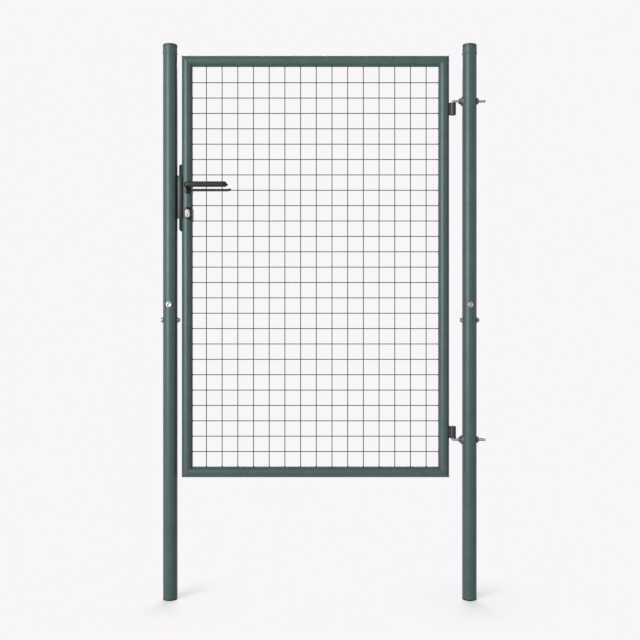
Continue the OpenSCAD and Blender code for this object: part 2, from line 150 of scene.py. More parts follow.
def spin(bm, place, profile, segments, ring=True):
    """Turns profile(angle), a list of (radius, height), round the Z axis of place.
    ring joins the profile's ends; without it both ends lie on the axis."""
    rings = []
    for i in range(segments):
        angle = math.tau * i / segments
        spoke = Vector((math.cos(angle), math.sin(angle), 0))
        rings.append([place @ (spoke * r + UP * z) for r, z in profile(angle)])
    if ring:
        skin(bm, rings, wrap=True)
        return
    tips = [bm.verts.new(rings[0][0]), bm.verts.new(rings[0][-1])]
    loops = [[bm.verts.new(p) for p in ring[1:-1]] for ring in rings]
    for near, far in zip(loops, loops[1:] + loops[:1]):
        bm.faces.new((tips[0], far[0], near[0]))
        bm.faces.new((tips[1], near[-1], far[-1]))
        for i in range(1, len(near)):
            bm.faces.new((near[i - 1], far[i - 1], far[i], near[i]))


def lathe(bm, place, outline, segments, ring=True):
    """Turns one outline of (radius, height) round the Z axis of place."""
    spin(bm, place, lambda angle: outline, segments, ring)


def rod(bm, start, end, radius, sides):
    """A round bar from start to end."""
    start, end = Vector(start), Vector(end)
    length = (end - start).length
    outline = [(0, 0), (radius, 0), (radius, length), (0, length)]
    lathe(bm, along(start, end - start), outline, sides, ring=False)


def prism(bm, outline, place, depth, edge=0.0):
    """The outline drawn out along the Z axis of place, with both rims rounded by edge."""
    near = []
    for k in range(RIM_STEPS + 1 if edge else 1):
        turn = math.pi / 2 * k / RIM_STEPS
        near.append((edge * (1 - math.sin(turn)), edge * (1 - math.cos(turn))))
    far = [(step, depth - height) for step, height in reversed(near)]
    skin(bm, [[place @ Vector((x, y, height)) for x, y in inset(outline, step)]
              for step, height in near + far])


def sweep(bm, path, section, across):
    """Carries section(i), a closed list of 2D points, along a flat path whose plane across is square to."""
    rings = []
    for i, point in enumerate(path):
        forward = path[min(i + 1, len(path) - 1)] - path[max(i - 1, 0)]
        other = forward.normalized().cross(across)
        rings.append([point + across * a + other * b for a, b in section(i)])
    skin(bm, rings)


def carve(bm, cutter):
    """The closed mesh bm with the closed mesh cutter cut away."""
    blanks = []
    for source in (bm, cutter):
        bmesh.ops.recalc_face_normals(source, faces=source.faces[:])
        mesh = bpy.data.meshes.new("blank")
        source.to_mesh(mesh)
        source.free()
        blanks.append(bpy.data.objects.new("blank", mesh))
        bpy.context.scene.collection.objects.link(blanks[-1])
    cut = blanks[0].modifiers.new("cut", "BOOLEAN")
    cut.object = blanks[1]
    cut.solver = "EXACT"
    result = bmesh.new()
    result.from_object(blanks[0], bpy.context.evaluated_depsgraph_get())
    for blank in blanks:
        bpy.data.meshes.remove(blank.data)
    return result


def thread(bm, place, diameter, pitch, length, chamfer):
    """A threaded rod along the Z axis of place, with its far end chamfered."""
    depth = 0.6 * pitch
    rows = int(length / pitch * THREAD_STEPS)

    def profile(angle):
        points = [(0, 0)]
        for k in range(rows + 1):
            height = length * k / rows
            phase = (height / pitch - angle / math.tau) % 1
            crest = diameter / 2 - depth * (1 - abs(2 * phase - 1)) ** 1.2
            tip = diameter / 2 - chamfer + (length - height)
            points.append((min(crest, tip), height))
        return points + [(0, length)]

    spin(bm, place, profile, THREAD_SEGMENTS, ring=False)


def hexagon(bm, place, flats, height, bore=0.0):
    """A chamfered hexagon head, or a nut where it has a bore, standing on the XY plane of place."""
    face = 0.94 * flats / 2
    slope = math.tan(math.radians(30))

    def profile(angle):
        wide = flats / 2 / math.cos((angle + math.pi / 6) % (math.pi / 3) - math.pi / 6)
        drop = max((wide - face) * slope, 0)
        outer = [(face, 0), (wide, drop), (wide, height - drop), (face, height)]
        if bore:
            lead = 0.7
            return ([(bore + lead, 0)] + outer
                    + [(bore + lead, height), (bore, height - lead), (bore, lead)])
        return [(0, 0)] + outer + [(face - 0.8, height - 0.25), (0, height - 0.25)]

    spin(bm, place, profile, 72, ring=bool(bore))


def bead(bm, path, radius, ripple, seed, closed=False):
    """A weld bead: a rod of uneven width along path, with a ripple of the given length."""
    count = len(path)
    rings = []
    travelled = 0.0
    for i, point in enumerate(path):
        before = path[i - 1] if i or closed else path[0]
        after = path[(i + 1) % count] if i < count - 1 or closed else path[-1]
        forward = (after - before).normalized()
        side = forward.orthogonal().normalized()
        other = forward.cross(side)
        swell = 1 + 0.1 * math.sin(math.tau * travelled / ripple)
        swell += 0.12 * noise.noise(point * 0.15 + Vector((seed, 0, 0)))
        if not closed:
            swell *= min(1, 0.45 + 0.3 * min(i, count - 1 - i))
        rings.append([point + (side * math.cos(t) + other * math.sin(t)) * radius * swell
                      for t in (math.tau * k / 8 for k in range(8))])
        travelled += (after - point).length
    skin(bm, rings, wrap=closed)


def piece(name, bm, body, material, replaces=(), smooth=35):
    """Turns the finished mesh into an object that rides on a body. Edges that bend by less than
    smooth degrees are shaded as one surface."""
    bmesh.ops.recalc_face_normals(bm, faces=bm.faces[:])
    bm.transform(Matrix.Scale(MM, 4))
    mesh = bpy.data.meshes.new(name)
    bm.to_mesh(mesh)
    bm.free()
    mesh.polygons.foreach_set("use_smooth", [True] * len(mesh.polygons))
    mesh.set_sharp_from_angle(angle=math.radians(smooth))
    mesh.materials.append(material)
    obj = bpy.data.objects.new(name, mesh)
    bpy.context.scene.collection.objects.link(obj)
    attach(obj, body)
    if replaces:
        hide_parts(*replaces)
    return obj


# ---- materials


class Finish:
    """A node material built round one Principled shader. Sizes of patterns are in millimetres."""

    def __init__(self, name, **values):
        self.material = bpy.data.materials.new(name)
        self.material.use_nodes = True
        self.tree = self.material.node_tree
        self.shader = self.tree.nodes["Principled BSDF"]
        for socket, value in values.items():
            self.shader.inputs[socket.replace("_", " ")].default_value = value
        self.coordinates = self.tree.nodes.new("ShaderNodeTexCoord").outputs["Object"]
        self.height = None

    def join(self, source, target):
        """Links an output to an input."""
        self.tree.links.new(source, target)

    def noise(self, size, detail=2.0, stretch=(1, 1, 1)):
        """Noise with features of about size, drawn out along the axes where stretch is over 1."""
        mapping = self.tree.nodes.new("ShaderNodeMapping")
        mapping.inputs["Scale"].default_value = [1 / s for s in stretch]
        field = self.tree.nodes.new("ShaderNodeTexNoise")
        field.inputs["Scale"].default_value = 1 / (size * MM)
        field.inputs["Detail"].default_value = detail
        self.join(self.coordinates, mapping.inputs["Vector"])
        self.join(mapping.outputs["Vector"], field.inputs["Vector"])
        return field.outputs[0]

    def crystals(self, size):
        """Patches of one value each, like the spangle of zinc."""
        field = self.tree.nodes.new("ShaderNodeTexVoronoi")
        field.inputs["Scale"].default_value = 1 / (size * MM)
        self.join(self.coordinates, field.inputs["Vector"])
        grey = self.tree.nodes.new("ShaderNodeRGBToBW")
        self.join(field.outputs["Color"], grey.inputs["Color"])
        return grey.outputs["Val"]

    def spread(self, field, low, high):
        """The field's middle range stretched from low to high."""
        ranged = self.tree.nodes.new("ShaderNodeMapRange")
        for socket, value in zip(("From Min", "From Max", "To Min", "To Max"), (0.3, 0.7, low, high)):
            ranged.inputs[socket].default_value = value
        self.join(field, ranged.inputs["Value"])
        return ranged.outputs["Result"]

    def colour(self, field, dark, light):
        """Base colour that follows the field from dark to light."""
        ramp = self.tree.nodes.new("ShaderNodeValToRGB")
        for element, (place, colour) in zip(ramp.color_ramp.elements, ((0.3, dark), (0.7, light))):
            element.position = place
            element.color = (*colour, 1)
        self.join(field, ramp.inputs["Fac"])
        self.join(ramp.outputs["Color"], self.shader.inputs["Base Color"])

    def roughness(self, field, low, high):
        """Roughness that follows the field from low to high."""
        self.join(self.spread(field, low, high), self.shader.inputs["Roughness"])

    def bump(self, field, depth):
        """Relief of depth millimetres, added to what is there."""
        relief = self.tree.nodes.new("ShaderNodeBump")
        relief.inputs["Distance"].default_value = depth * MM
        self.join(field, relief.inputs["Height"])
        if self.height is not None:
            self.join(self.height, relief.inputs["Normal"])
        self.height = relief.outputs["Normal"]
        self.join(self.height, self.shader.inputs["Normal"])


def powder_coat(name, dark, light, rough):
    """Baked powder: a faint cloudiness, uneven gloss and a fine orange peel."""
    finish = Finish(name, Specular_IOR_Level=0.28, Specular_Tint=(0.85, 1.0, 0.98, 1))
    finish.colour(finish.noise(45, detail=5), dark, light)
    finish.roughness(finish.noise(18), rough - 0.04, rough + 0.05)
    finish.bump(finish.noise(2.2, detail=1), 0.03)
    finish.bump(finish.noise(14, detail=1), 0.06)
    return finish.material


def plated(name, dark, light, rough, spangle=2.5):
    """Zinc or nickel plating, with fine crystals and a brushed sheen."""
    finish = Finish(name, Metallic=1.0)
    finish.colour(finish.crystals(spangle), dark, light)
    finish.roughness(finish.noise(4, detail=3), rough - 0.08, rough + 0.1)
    finish.bump(finish.noise(0.8, detail=2), 0.01)
    return finish.material


def polymer(name, dark, light, rough, gloss):
    """Moulded plastic with a fine spark-eroded grain."""
    finish = Finish(name, Specular_IOR_Level=gloss)
    finish.colour(finish.noise(12, detail=3), dark, light)
    finish.roughness(finish.noise(6, detail=2), rough - 0.05, rough + 0.06)
    finish.bump(finish.noise(0.9, detail=1), 0.03)
    return finish.material


def dark_steel(name, dark, light, rough, gloss):
    """Blackened steel under thin paint, with faint drawing marks along Z."""
    finish = Finish(name, Specular_IOR_Level=gloss)
    finish.colour(finish.noise(9, detail=4), dark, light)
    finish.roughness(finish.noise(5, detail=3), rough - 0.06, rough + 0.08)
    finish.bump(finish.noise(0.8, detail=2, stretch=(1, 1, 8)), 0.008)
    return finish.material


paint = powder_coat("frame_paint", (0.055, 0.090, 0.090), (0.066, 0.104, 0.102), 0.32)
wire_paint = powder_coat("mesh_wire", (0.036, 0.042, 0.046), (0.048, 0.055, 0.059), 0.42)
zinc = plated("zinc_steel", (0.24, 0.25, 0.26), (0.36, 0.37, 0.38), 0.27)
# a lighter copy of the zinc: a painted highlight on the hook bolts, standing in for the light they catch
zinc_painted_lighter = plated("zinc_painted_lighter", (0.35, 0.36, 0.37), (0.48, 0.49, 0.50), 0.27)
# a darker copy of the zinc: painted shade on the nuts, washers and saddle pads
zinc_painted_darker = plated("zinc_painted_darker", (0.09, 0.095, 0.10), (0.17, 0.175, 0.18), 0.36)
nickel = plated("cylinder_nickel", (0.20, 0.20, 0.185), (0.28, 0.28, 0.265), 0.38, spangle=1.2)
steel = plated("sealed_steel", (0.42, 0.42, 0.42), (0.52, 0.52, 0.52), 0.4)
black_metal = dark_steel("black_metal", (0.008, 0.010, 0.011), (0.013, 0.015, 0.016), 0.45, 0.15)
sleeve_metal = dark_steel("sleeve_metal", (0.018, 0.022, 0.022), (0.026, 0.031, 0.031), 0.4, 0.4)
dark_plate = dark_steel("dark_plate", (0.008, 0.009, 0.012), (0.013, 0.014, 0.018), 0.32, 0.42)
lever_plastic = polymer("lever_polymer", (0.010, 0.010, 0.012), (0.015, 0.015, 0.017), 0.36, 0.24)
cover_plastic = polymer("cover_polymer", (0.003, 0.003, 0.004), (0.006, 0.006, 0.007), 0.26, 0.3)

LOOKS = {
    "frame_paint": paint,
    "mesh_wire": wire_paint,
    "zinc_steel": zinc,
    "cylinder_nickel": nickel,
    "sealed_steel": steel,
    "black_metal": black_metal,
    "dark_plate": dark_plate,
    "lever_polymer": lever_plastic,
    "cover_polymer": cover_plastic,
}


def repaint_cad_nodes():
    """Every CAD node that stays in view gets the look of its record slot."""
    slots = {part["node"]: part["material_slot"] for part in frame["record"]["subparts"]}
    for name, node in frame["nodes"].items():
        node.data.materials.clear()
        node.data.materials.append(LOOKS[slots[name]])


repaint_cad_nodes()


# ---- posts

SEAM = 0.6  # chamfer that shows as a fine groove where two tubes meet
WALL = 2.0
BOLT = 4.0  # radius of a joint bolt
BOLT_PITCH = 1.25
BOLT_FLATS = 13.0
BOLT_NUT = 4.6  # height of a joint bolt's nut
BOLT_WASHER = 9.5  # outer radius of its washers
BOLT_WASHER_BORE = 4.3
BOLT_WASHER_THICK = 1.6


def tube(bm, centre, radius, low, high):
    """An upright tube with chamfered ends."""
    outline = [(radius - WALL, low), (radius - SEAM, low), (radius, low + SEAM),
               (radius, high - SEAM), (radius - SEAM, high), (radius - WALL, high)]
    lathe(bm, at(centre.x, centre.y, 0), outline, 96)


def post_tubes(post):
    """The lower and the upper tube. The latch post's upper one has the pocket for the latch bolt."""
    for half in ("lower", "upper"):
        low, high, middle = box(f"{post}_{half}")
        bm = bmesh.new()
        tube(bm, middle, (high.x - low.x) / 2, low.z, high.z)
        if post == "latch_post" and half == "upper":
            bm = carve(bm, strike_window())
        piece(f"{post}_{half}_tube", bm, "posts", paint, [f"{post}_{half}"])


def post_cap(post):
    """A pressed cap: a skirt that flares into a lip, and a softly domed top over a ring groove."""
    low, high, middle = box(f"{post}_cap")
    outer = (high.x - low.x) / 2
    inner = outer - 0.9
    skirt = outer - 0.4
    groove = high.z - 8
    lip = [(inner + 0.25, low.z), (outer, low.z + 2.4), (outer, low.z + 5.2), (skirt, low.z + 7)]
    ring = [(skirt, groove - 1), (skirt - 0.6, groove - 0.4), (skirt - 0.6, groove + 0.4),
            (skirt, groove + 1)]
    top_edge = arc((skirt - 2.6, high.z - 3.2), 2.6, 0, 80, 8)
    dome = [(r, high.z - 0.6 * (r / outer) ** 2) for r in (18, 14, 10, 5, 0)]
    outline = ([(0, high.z - 3), (inner - 0.15, high.z - 3), (inner - 0.15, low.z + 0.3), (inner, low.z)]
               + lip + ring + top_edge + dome)
    bm = bmesh.new()
    lathe(bm, at(middle.x, middle.y, 0), outline, 96, ring=False)
    piece(f"{post}_cap_pressed", bm, "posts", paint, [f"{post}_cap"], smooth=12)


def foot_plug(post):
    """A moulded plug: a disc under the tube's end and a narrower body inside it."""
    low, high, middle = box(f"{post}_foot_plug")
    outer = (high.x - low.x) / 2
    outline = [(0, 0), (outer - 1.2, 0), (outer - 0.3, 0.4), (outer, 1.2), (outer, 3.2), (outer - 0.5, 4),
               (outer - 2.4, 4), (outer - 2.4, high.z - 2), (outer - 4, high.z), (0, high.z)]
    bm = bmesh.new()
    lathe(bm, at(middle.x, middle.y, low.z), outline, 64, ring=False)
    piece(f"{post}_foot_plug_moulded", bm, "posts", cover_plastic, [f"{post}_foot_plug"])


def washer(bm, place, outer, bore, thick):
    """A punched washer: one face with a rolled rim, the other with a sharp one."""
    outline = [(bore, 0), (outer, 0), (outer, thick - 0.5), (outer - 0.15, thick - 0.15),
               (outer - 0.6, thick), (bore + 0.3, thick), (bore, thick - 0.3)]
    lathe(bm, place, outline, 48)


def joint_bolts(post):
    """The two bolts that clamp a post's joint: one to the rear and one to the right."""
    axis = box(f"{post}_cap")[2]
    low, high, _ = box(f"{post}_joint_bolts")
    washers_low, washers_high, _ = box(f"{post}_joint_washers")
    span = washers_high.y  # from the post's axis to the outer face of a washer
    head = -low.y - span
    bolts, nuts, washers = bmesh.new(), bmesh.new(), bmesh.new()
    heights = (washers_high.z - BOLT_WASHER, washers_low.z + BOLT_WASHER)
    washer_foot = span - BOLT_WASHER_THICK
    reaches = (high.y, high.x - axis.x)
    for height, reach, direction in zip(heights, reaches, (REAR, RIGHT)):
        centre = Vector((axis.x, axis.y, height))
        hexagon(bolts, along(centre - direction * span, -direction), BOLT_FLATS, head)
        rod(bolts, centre - direction * (span + 1), centre + direction * (span - 1), BOLT - 0.1, 20)
        thread_place = along(centre + direction * (span - 2), direction)
        thread(bolts, thread_place, 2 * BOLT, BOLT_PITCH, reach - span + 2, 0.8)
        hexagon(nuts, along(centre + direction * span, direction), BOLT_FLATS, BOLT_NUT, bore=BOLT)
        for way in (direction, -direction):
            washer(washers, along(centre + way * washer_foot, way), BOLT_WASHER, BOLT_WASHER_BORE,
                   BOLT_WASHER_THICK)
    piece(f"{post}_hex_bolts", bolts, "posts", zinc, [f"{post}_joint_bolts"])
    piece(f"{post}_hex_nuts", nuts, "posts", zinc_painted_darker, [f"{post}_joint_nuts"])
    piece(f"{post}_washers", washers, "posts", zinc, [f"{post}_joint_washers"])


# ---- hinges

STUD = 5.0  # radius of a stud and its pin
STUD_PITCH = 1.5
STUD_FLATS = 17.0
THIN_NUT = 4.4  # the nut at a stud's free end is a thin one
STUD_WASHER = 15.0  # outer radius of the washer on the pad
OUTER_WASHER = 11.0  # outer radius of the one at the free end
STUD_WASHER_BORE = 5.3
STUD_WASHER_THICK = 2.0
SADDLE_SEAT = 23.05  # radius that the pads are hollowed to
HOOK_START = -40.0  # X where the left thread ends and the bare hook begins
LEFT_THREAD, RIGHT_THREAD = -24.0, 20.0  # X where the two threads begin
WELD_STEP = 0.75  # distance between two sections of a sleeve's weld
WELD_END = 3.0  # bare length of a sleeve at each end of its weld
WELD_SIDE = 6.3  # how far the two welds of a sleeve lie from its middle plane


def hinge_stud(name, turn):
    """A hook bolt: threaded through the post, then bent into the pin. turn is 1 where the pin points
    up and -1 where it points down. Returns the height of the bolt's axis."""
    low, high, _ = box(f"{name}_stud")
    axis_x = low.x + STUD
    stud_z = low.z + STUD if turn > 0 else high.z - STUD
    pin_end = high.z if turn > 0 else low.z
    bend = STUD + 0.15
    path = [Vector((HOOK_START, 0, stud_z))]
    for x, z in arc((axis_x + bend, bend), bend, 270, 180, 10):
        path.append(Vector((x, 0, stud_z + turn * z)))
    path.append(Vector((axis_x, 0, pin_end - turn)))
    path.append(Vector((axis_x, 0, pin_end)))

    def section(i):
        radius = STUD - 1 if i == len(path) - 1 else STUD
        return arc((0, 0), radius, 0, 345, 23)

    bm = bmesh.new()
    sweep(bm, path, section, REAR)
    left_place = along((LEFT_THREAD, 0, stud_z), -RIGHT)
    right_place = along((RIGHT_THREAD, 0, stud_z), RIGHT)
    thread(bm, left_place, 2 * STUD, STUD_PITCH, LEFT_THREAD - HOOK_START + 0.2, 0.6)
    rod(bm, (LEFT_THREAD - 2, 0, stud_z), (RIGHT_THREAD + 2, 0, stud_z), STUD - 0.6, 24)
    thread(bm, right_place, 2 * STUD, STUD_PITCH, high.x - RIGHT_THREAD, 1.2)
    piece(f"{name}_hook_bolt", bm, "posts", zinc_painted_lighter, [f"{name}_stud"])
    return stud_z


def hinge_saddle(name, stud_z):
    """A round pad, flat towards the nut and hollowed to fit the post."""
    low, high, _ = box(f"{name}_saddle")
    outer = (high.y - low.y) / 2
    radii = (outer, 13, 11, 9, 7, 5.3)

    def profile(angle):
        face = [(5.3, 0.3), (5.6, 0), (outer - 0.8, 0), (outer - 0.2, 0.25), (outer, 0.8)]
        hollow = [(r, -low.x - math.sqrt(SADDLE_SEAT ** 2 - (r * math.cos(angle)) ** 2)) for r in radii]
        return face + hollow

    bm = bmesh.new()
    spin(bm, at(low.x, 0, stud_z, FACING_RIGHT), profile, 64)
    piece(f"{name}_saddle_pad", bm, "posts", zinc_painted_darker, [f"{name}_saddle"])


def hinge_fasteners(name, stud_z):
    """The washer and nut on each side of the post."""
    low, high, _ = box(f"{name}_washers")
    nut_low, nut_high, _ = box(f"{name}_nuts")
    washers, nuts = bmesh.new(), bmesh.new()
    washer(washers, along((low.x + STUD_WASHER_THICK, 0, stud_z), -RIGHT), STUD_WASHER, STUD_WASHER_BORE,
           STUD_WASHER_THICK)
    washer(washers, along((high.x - STUD_WASHER_THICK, 0, stud_z), RIGHT), OUTER_WASHER, STUD_WASHER_BORE,
           STUD_WASHER_THICK)
    outer_nut = min(THIN_NUT, nut_high.x - high.x)
    hexagon(nuts, along((nut_low.x, 0, stud_z), RIGHT), STUD_FLATS, low.x - nut_low.x, bore=STUD)
    hexagon(nuts, along((high.x, 0, stud_z), RIGHT), STUD_FLATS, outer_nut, bore=STUD)
    piece(f"{name}_plain_washers", washers, "posts", zinc_painted_darker, [f"{name}_washers"])
    piece(f"{name}_hex_nuts", nuts, "posts", zinc_painted_darker, [f"{name}_nuts"])


def hinge_sleeve(name):
    """The leaf's half of a hinge, welded to the stile along both sides."""
    low, high, middle = box(f"{name}_sleeve")
    outer = (high.x - low.x) / 2
    bore = STUD + 0.08
    outline = [(bore, low.z + 0.8), (bore + 0.8, low.z), (outer - 0.5, low.z), (outer, low.z + 0.5),
               (outer, high.z - 0.5), (outer - 0.5, high.z), (bore + 0.8, high.z), (bore, high.z - 0.8)]
    bm = bmesh.new()
    lathe(bm, at(middle.x, middle.y, 0), outline, 64)
    edge = box("hinge_stile")[1].x
    for side in (-1, 1):
        count = int((high.z - low.z - 2 * WELD_END) / WELD_STEP)
        heights = [low.z + WELD_END + WELD_STEP * k for k in range(count)]
        path = [Vector((edge + 0.4, side * WELD_SIDE, z)) for z in heights]
        bead(bm, path, 2.2, ripple=2.4, seed=side)
    piece(f"{name}_welded_sleeve", bm, "leaf", sleeve_metal, [f"{name}_sleeve"])


# ---- leaf frame

FRAME_WALL = 1.5
MITRE_BEAD = 1.1  # radius of the bead round a corner
MITRE_STEPS = 120


def mitred_tube(bm, place, radius, length, spoke):
    """A tube along the Z axis of place, mitred at both ends so that it is longest on the spoke side.
    spoke(angle) is 1 on that side and -1 opposite."""

    def profile(angle):
        points = []
        for r in (radius - FRAME_WALL, radius):
            cut = radius - r * spoke(angle)
            points += [(r, cut), (r, length - cut)]
        return [points[0], points[2], points[3], points[1]]

    spin(bm, place, profile, 72)


def mitre_weld(bm, corner, inward_x, inward_z, radius):
    """The dressed weld round a corner, standing just proud of the two tubes."""
    seat = radius - MITRE_BEAD / 2
    path = []
    for k in range(MITRE_STEPS):
        angle = math.tau * k / MITRE_STEPS
        reach = radius - seat * math.cos(angle)
        path.append(corner + Vector((inward_x * reach, seat * math.sin(angle), inward_z * reach)))
    bead(bm, path, MITRE_BEAD, ripple=3.1, closed=True, seed=corner.z)


def leaf_frame():
    """Four round tubes with mitred, welded corners."""
    rail_low, rail_high, _ = box("bottom_rail")
    top_high = box("top_rail")[1]
    radius = (rail_high.z - rail_low.z) / 2
    left, right, low, high = rail_low.x, rail_high.x, rail_low.z, top_high.z
    uprights = (("latch_stile", left + radius, lambda a: -math.cos(a)),
                ("hinge_stile", right - radius, math.cos))
    levels = (("bottom_rail", low + radius, lambda a: -math.sin(a)), ("top_rail", high - radius, math.sin))
    for node, x, spoke in uprights:
        bm = bmesh.new()
        mitred_tube(bm, at(x, 0, low), radius, high - low, spoke)
        piece(f"{node}_tube", bm, "leaf", paint, [node])
    for node, z, spoke in levels:
        bm = bmesh.new()
        mitred_tube(bm, at(left, 0, z, FACING_RIGHT), radius, right - left, spoke)
        inward = 1 if node == "bottom_rail" else -1
        for x, side in ((left, 1), (right, -1)):
            mitre_weld(bm, Vector((x, 0, z - inward * radius)), side, inward, radius)
        piece(f"{node}_tube", bm, "leaf", paint, [node])


# ---- mesh

WIRE = 1.4  # radius of a wire
FRAME_WELD, FRAME_WELD_THICK = 2.5, 1.6  # a weld at the frame: radius, and half its length on the wire
CROSSING_WELD = (1.9, 1.3, 1.9)  # half the size of a weld between two wires, along X, Y and Z


def wire_centres(axis, end):
    """Where the mesh wires that run along the axis end lie along axis."""
    high = box("mesh_panel")[1]
    vertices = [v.co / MM for v in frame["nodes"]["mesh_panel"].data.vertices]
    edges = sorted({round(v[axis], 1) for v in vertices if v[end] > high[end] - 0.1})
    return [(a + b) / 2 for a, b in zip(edges[::2], edges[1::2])]


def blob(bm, centre, size, segments=10):
    """A small flattened ball of weld metal."""
    rings = ((0, -1), (0.75, -0.66), (1, 0), (0.75, 0.66), (0, 1))
    lathe(bm, Matrix.Translation(centre) @ Matrix.Diagonal((*size, 1)), rings, segments, ring=False)


def mesh_panel():
    """Upright wires in front of level wires, resistance-welded at every crossing and to the frame."""
    low, high, _ = box("mesh_panel")
    front, rear = low.y + WIRE, high.y - WIRE
    uprights, levels = wire_centres(0, 2), wire_centres(2, 0)
    bm = bmesh.new()
    for x in uprights:
        rod(bm, (x, front, low.z - 0.5), (x, front, high.z + 0.5), WIRE, 12)
        for z in (low.z + 0.3, high.z - 0.3):
            blob(bm, (x, front, z), (FRAME_WELD, FRAME_WELD, FRAME_WELD_THICK))
    for z in levels:
        rod(bm, (low.x - 0.5, rear, z), (high.x + 0.5, rear, z), WIRE, 12)
        for x in (low.x + 0.3, high.x - 0.3):
            blob(bm, (x, rear, z), (FRAME_WELD_THICK, FRAME_WELD, FRAME_WELD))
    for x in uprights:
        for z in levels:
            blob(bm, (x, 0, z), CROSSING_WELD, 8)
    piece("welded_mesh", bm, "leaf", wire_paint, ["mesh_panel"])


# ---- lock

EDGE = 0.5  # rounding of the metal edges of the lock and the strike
STRIKE_THICK = 1.5
STRIKE_BEND = 6.5  # outer radius of the strike's bend; the inner one is smaller by its thickness
STRIKE_HEAD = 9.0  # diameter of the head of a strike screw
STRIKE_SHANK = 5.0
WINDOW_SIDE, WINDOW_END = 2.0, 4.0  # the latch pocket's margins round the bolt, along Y and along Z
LOCK_SCREW_HEAD = 8.0
LOCK_SCREW_SHANK = 4.5
LOCK_SCREW_LONG = 10.0
GROOVE_INNER, GROOVE_OUTER = 6.3, 6.7  # radii of the ring groove on the cylinder's plug
KEYWAY = ((-0.55, -4.6), (0.55, -4.6), (0.55, -2), (1.4, -2), (1.4, -0.6), (0.55, -0.6), (0.55, 3.6),
          (-0.55, 3.6), (-0.55, 1.8), (-1.3, 1.8), (-1.3, 0.6), (-0.55, 0.6))


def between(outline, low, high):
    """The part of an outline whose first coordinate is between low and high."""
    for limit, side in ((low, 1), (high, -1)):
        kept = []
        for i, (x, y) in enumerate(outline):
            before_x, before_y = outline[i - 1]
            if (x - limit) * (before_x - limit) < 0:
                share = (limit - before_x) / (x - before_x)
                kept.append((limit, before_y + share * (y - before_y)))
            if (x - limit) * side >= 0:
                kept.append((x, y))
        outline = kept
    return outline


def block(bm, low, high, edge):
    """An upright box between two corners, with its edges along Y rounded and its faces softened."""
    corners = [(low.x, low.z), (high.x, low.z), (high.x, high.z), (low.x, high.z)]
    prism(bm, rounded(corners, edge, 3), at(0, high.y, 0, FACING_FRONT), high.y - low.y, edge * 0.9)


def grown(node, margin, out):
    """The corners of a CAD node moved outwards, and its left end by out more."""
    low, high, _ = box(node)
    spare = Vector((margin, margin, margin))
    return low - spare - Vector((out, 0, 0)), high + spare


def strike_window():
    """The pocket that the latch bolt enters, cut through the strike plate and the post's wall."""
    low, high, _ = box("latch_bolt")
    edge_x = box("strike_plate")[0].x
    bm = bmesh.new()
    front, rear = low.y - WINDOW_SIDE, high.y + WINDOW_SIDE
    bottom, top = low.z - WINDOW_END, high.z + WINDOW_END
    outline = rounded([(front, bottom), (rear, bottom), (rear, top), (front, top)], 2.5)
    prism(bm, outline, at(edge_x - 6, 0, 0, FACING_RIGHT), 10)
    return bm


def countersunk(bm, place, head, shank, length):
    """A countersunk screw with a hexagon socket, its head's face on the XY plane of place."""

    def profile(angle):
        socket = 1.5 / math.cos(angle % (math.pi / 3) - math.pi / 6)
        return [(0, -1.3), (socket, -1.3), (socket, 0), (head / 2 - 0.2, 0), (head / 2, -0.15),
                (shank / 2, -(head - shank) / 2 - 0.2), (shank / 2, -length), (0, -length)]

    spin(bm, place, profile, 48, ring=False)


def countersunk_hole(bm, place, head, shank, spare):
    """The cutter of the hole for a countersunk screw, wider than the screw by spare all round."""
    seat, bore = head / 2 + spare, shank / 2 + spare
    lathe(bm, place, [(0, 0.5), (seat, 0.5), (seat, 0), (bore, -2), (bore, -5), (0, -5)], 32, ring=False)


def strike():
    """A bent plate: one leg on the post with the latch window, the other the stop for the leaf."""
    low, high, _ = box("strike_plate")
    inside_x, inside_y = low.x + STRIKE_THICK, low.y + STRIKE_THICK
    corners = [(low.x, low.y), (high.x, low.y), (high.x, inside_y), (inside_x, inside_y),
               (inside_x, high.y), (low.x, high.y)]
    radii = [STRIKE_BEND, EDGE, EDGE, STRIKE_BEND - STRIKE_THICK, EDGE, EDGE]
    outline = rounded(corners, radii, 8)
    bm = bmesh.new()
    prism(bm, outline, at(0, 0, low.z), high.z - low.z, 0.35)
    bm = carve(bm, strike_window())
    screw_low, screw_high, _ = box("strike_screws")
    screws, holes = bmesh.new(), bmesh.new()
    for z in (screw_low.z + STRIKE_HEAD / 2, screw_high.z - STRIKE_HEAD / 2):
        place = at(screw_high.x, 0, z, FACING_RIGHT)
        countersunk(screws, place, STRIKE_HEAD, STRIKE_SHANK, screw_high.x - screw_low.x)
        countersunk_hole(holes, place, STRIKE_HEAD, STRIKE_SHANK, 0.2)
    bm = carve(bm, holes)
    piece("strike_bent_plate", bm, "posts", dark_plate, ["strike_plate"])
    piece("strike_countersunk_screws", screws, "posts", zinc, ["strike_screws"])


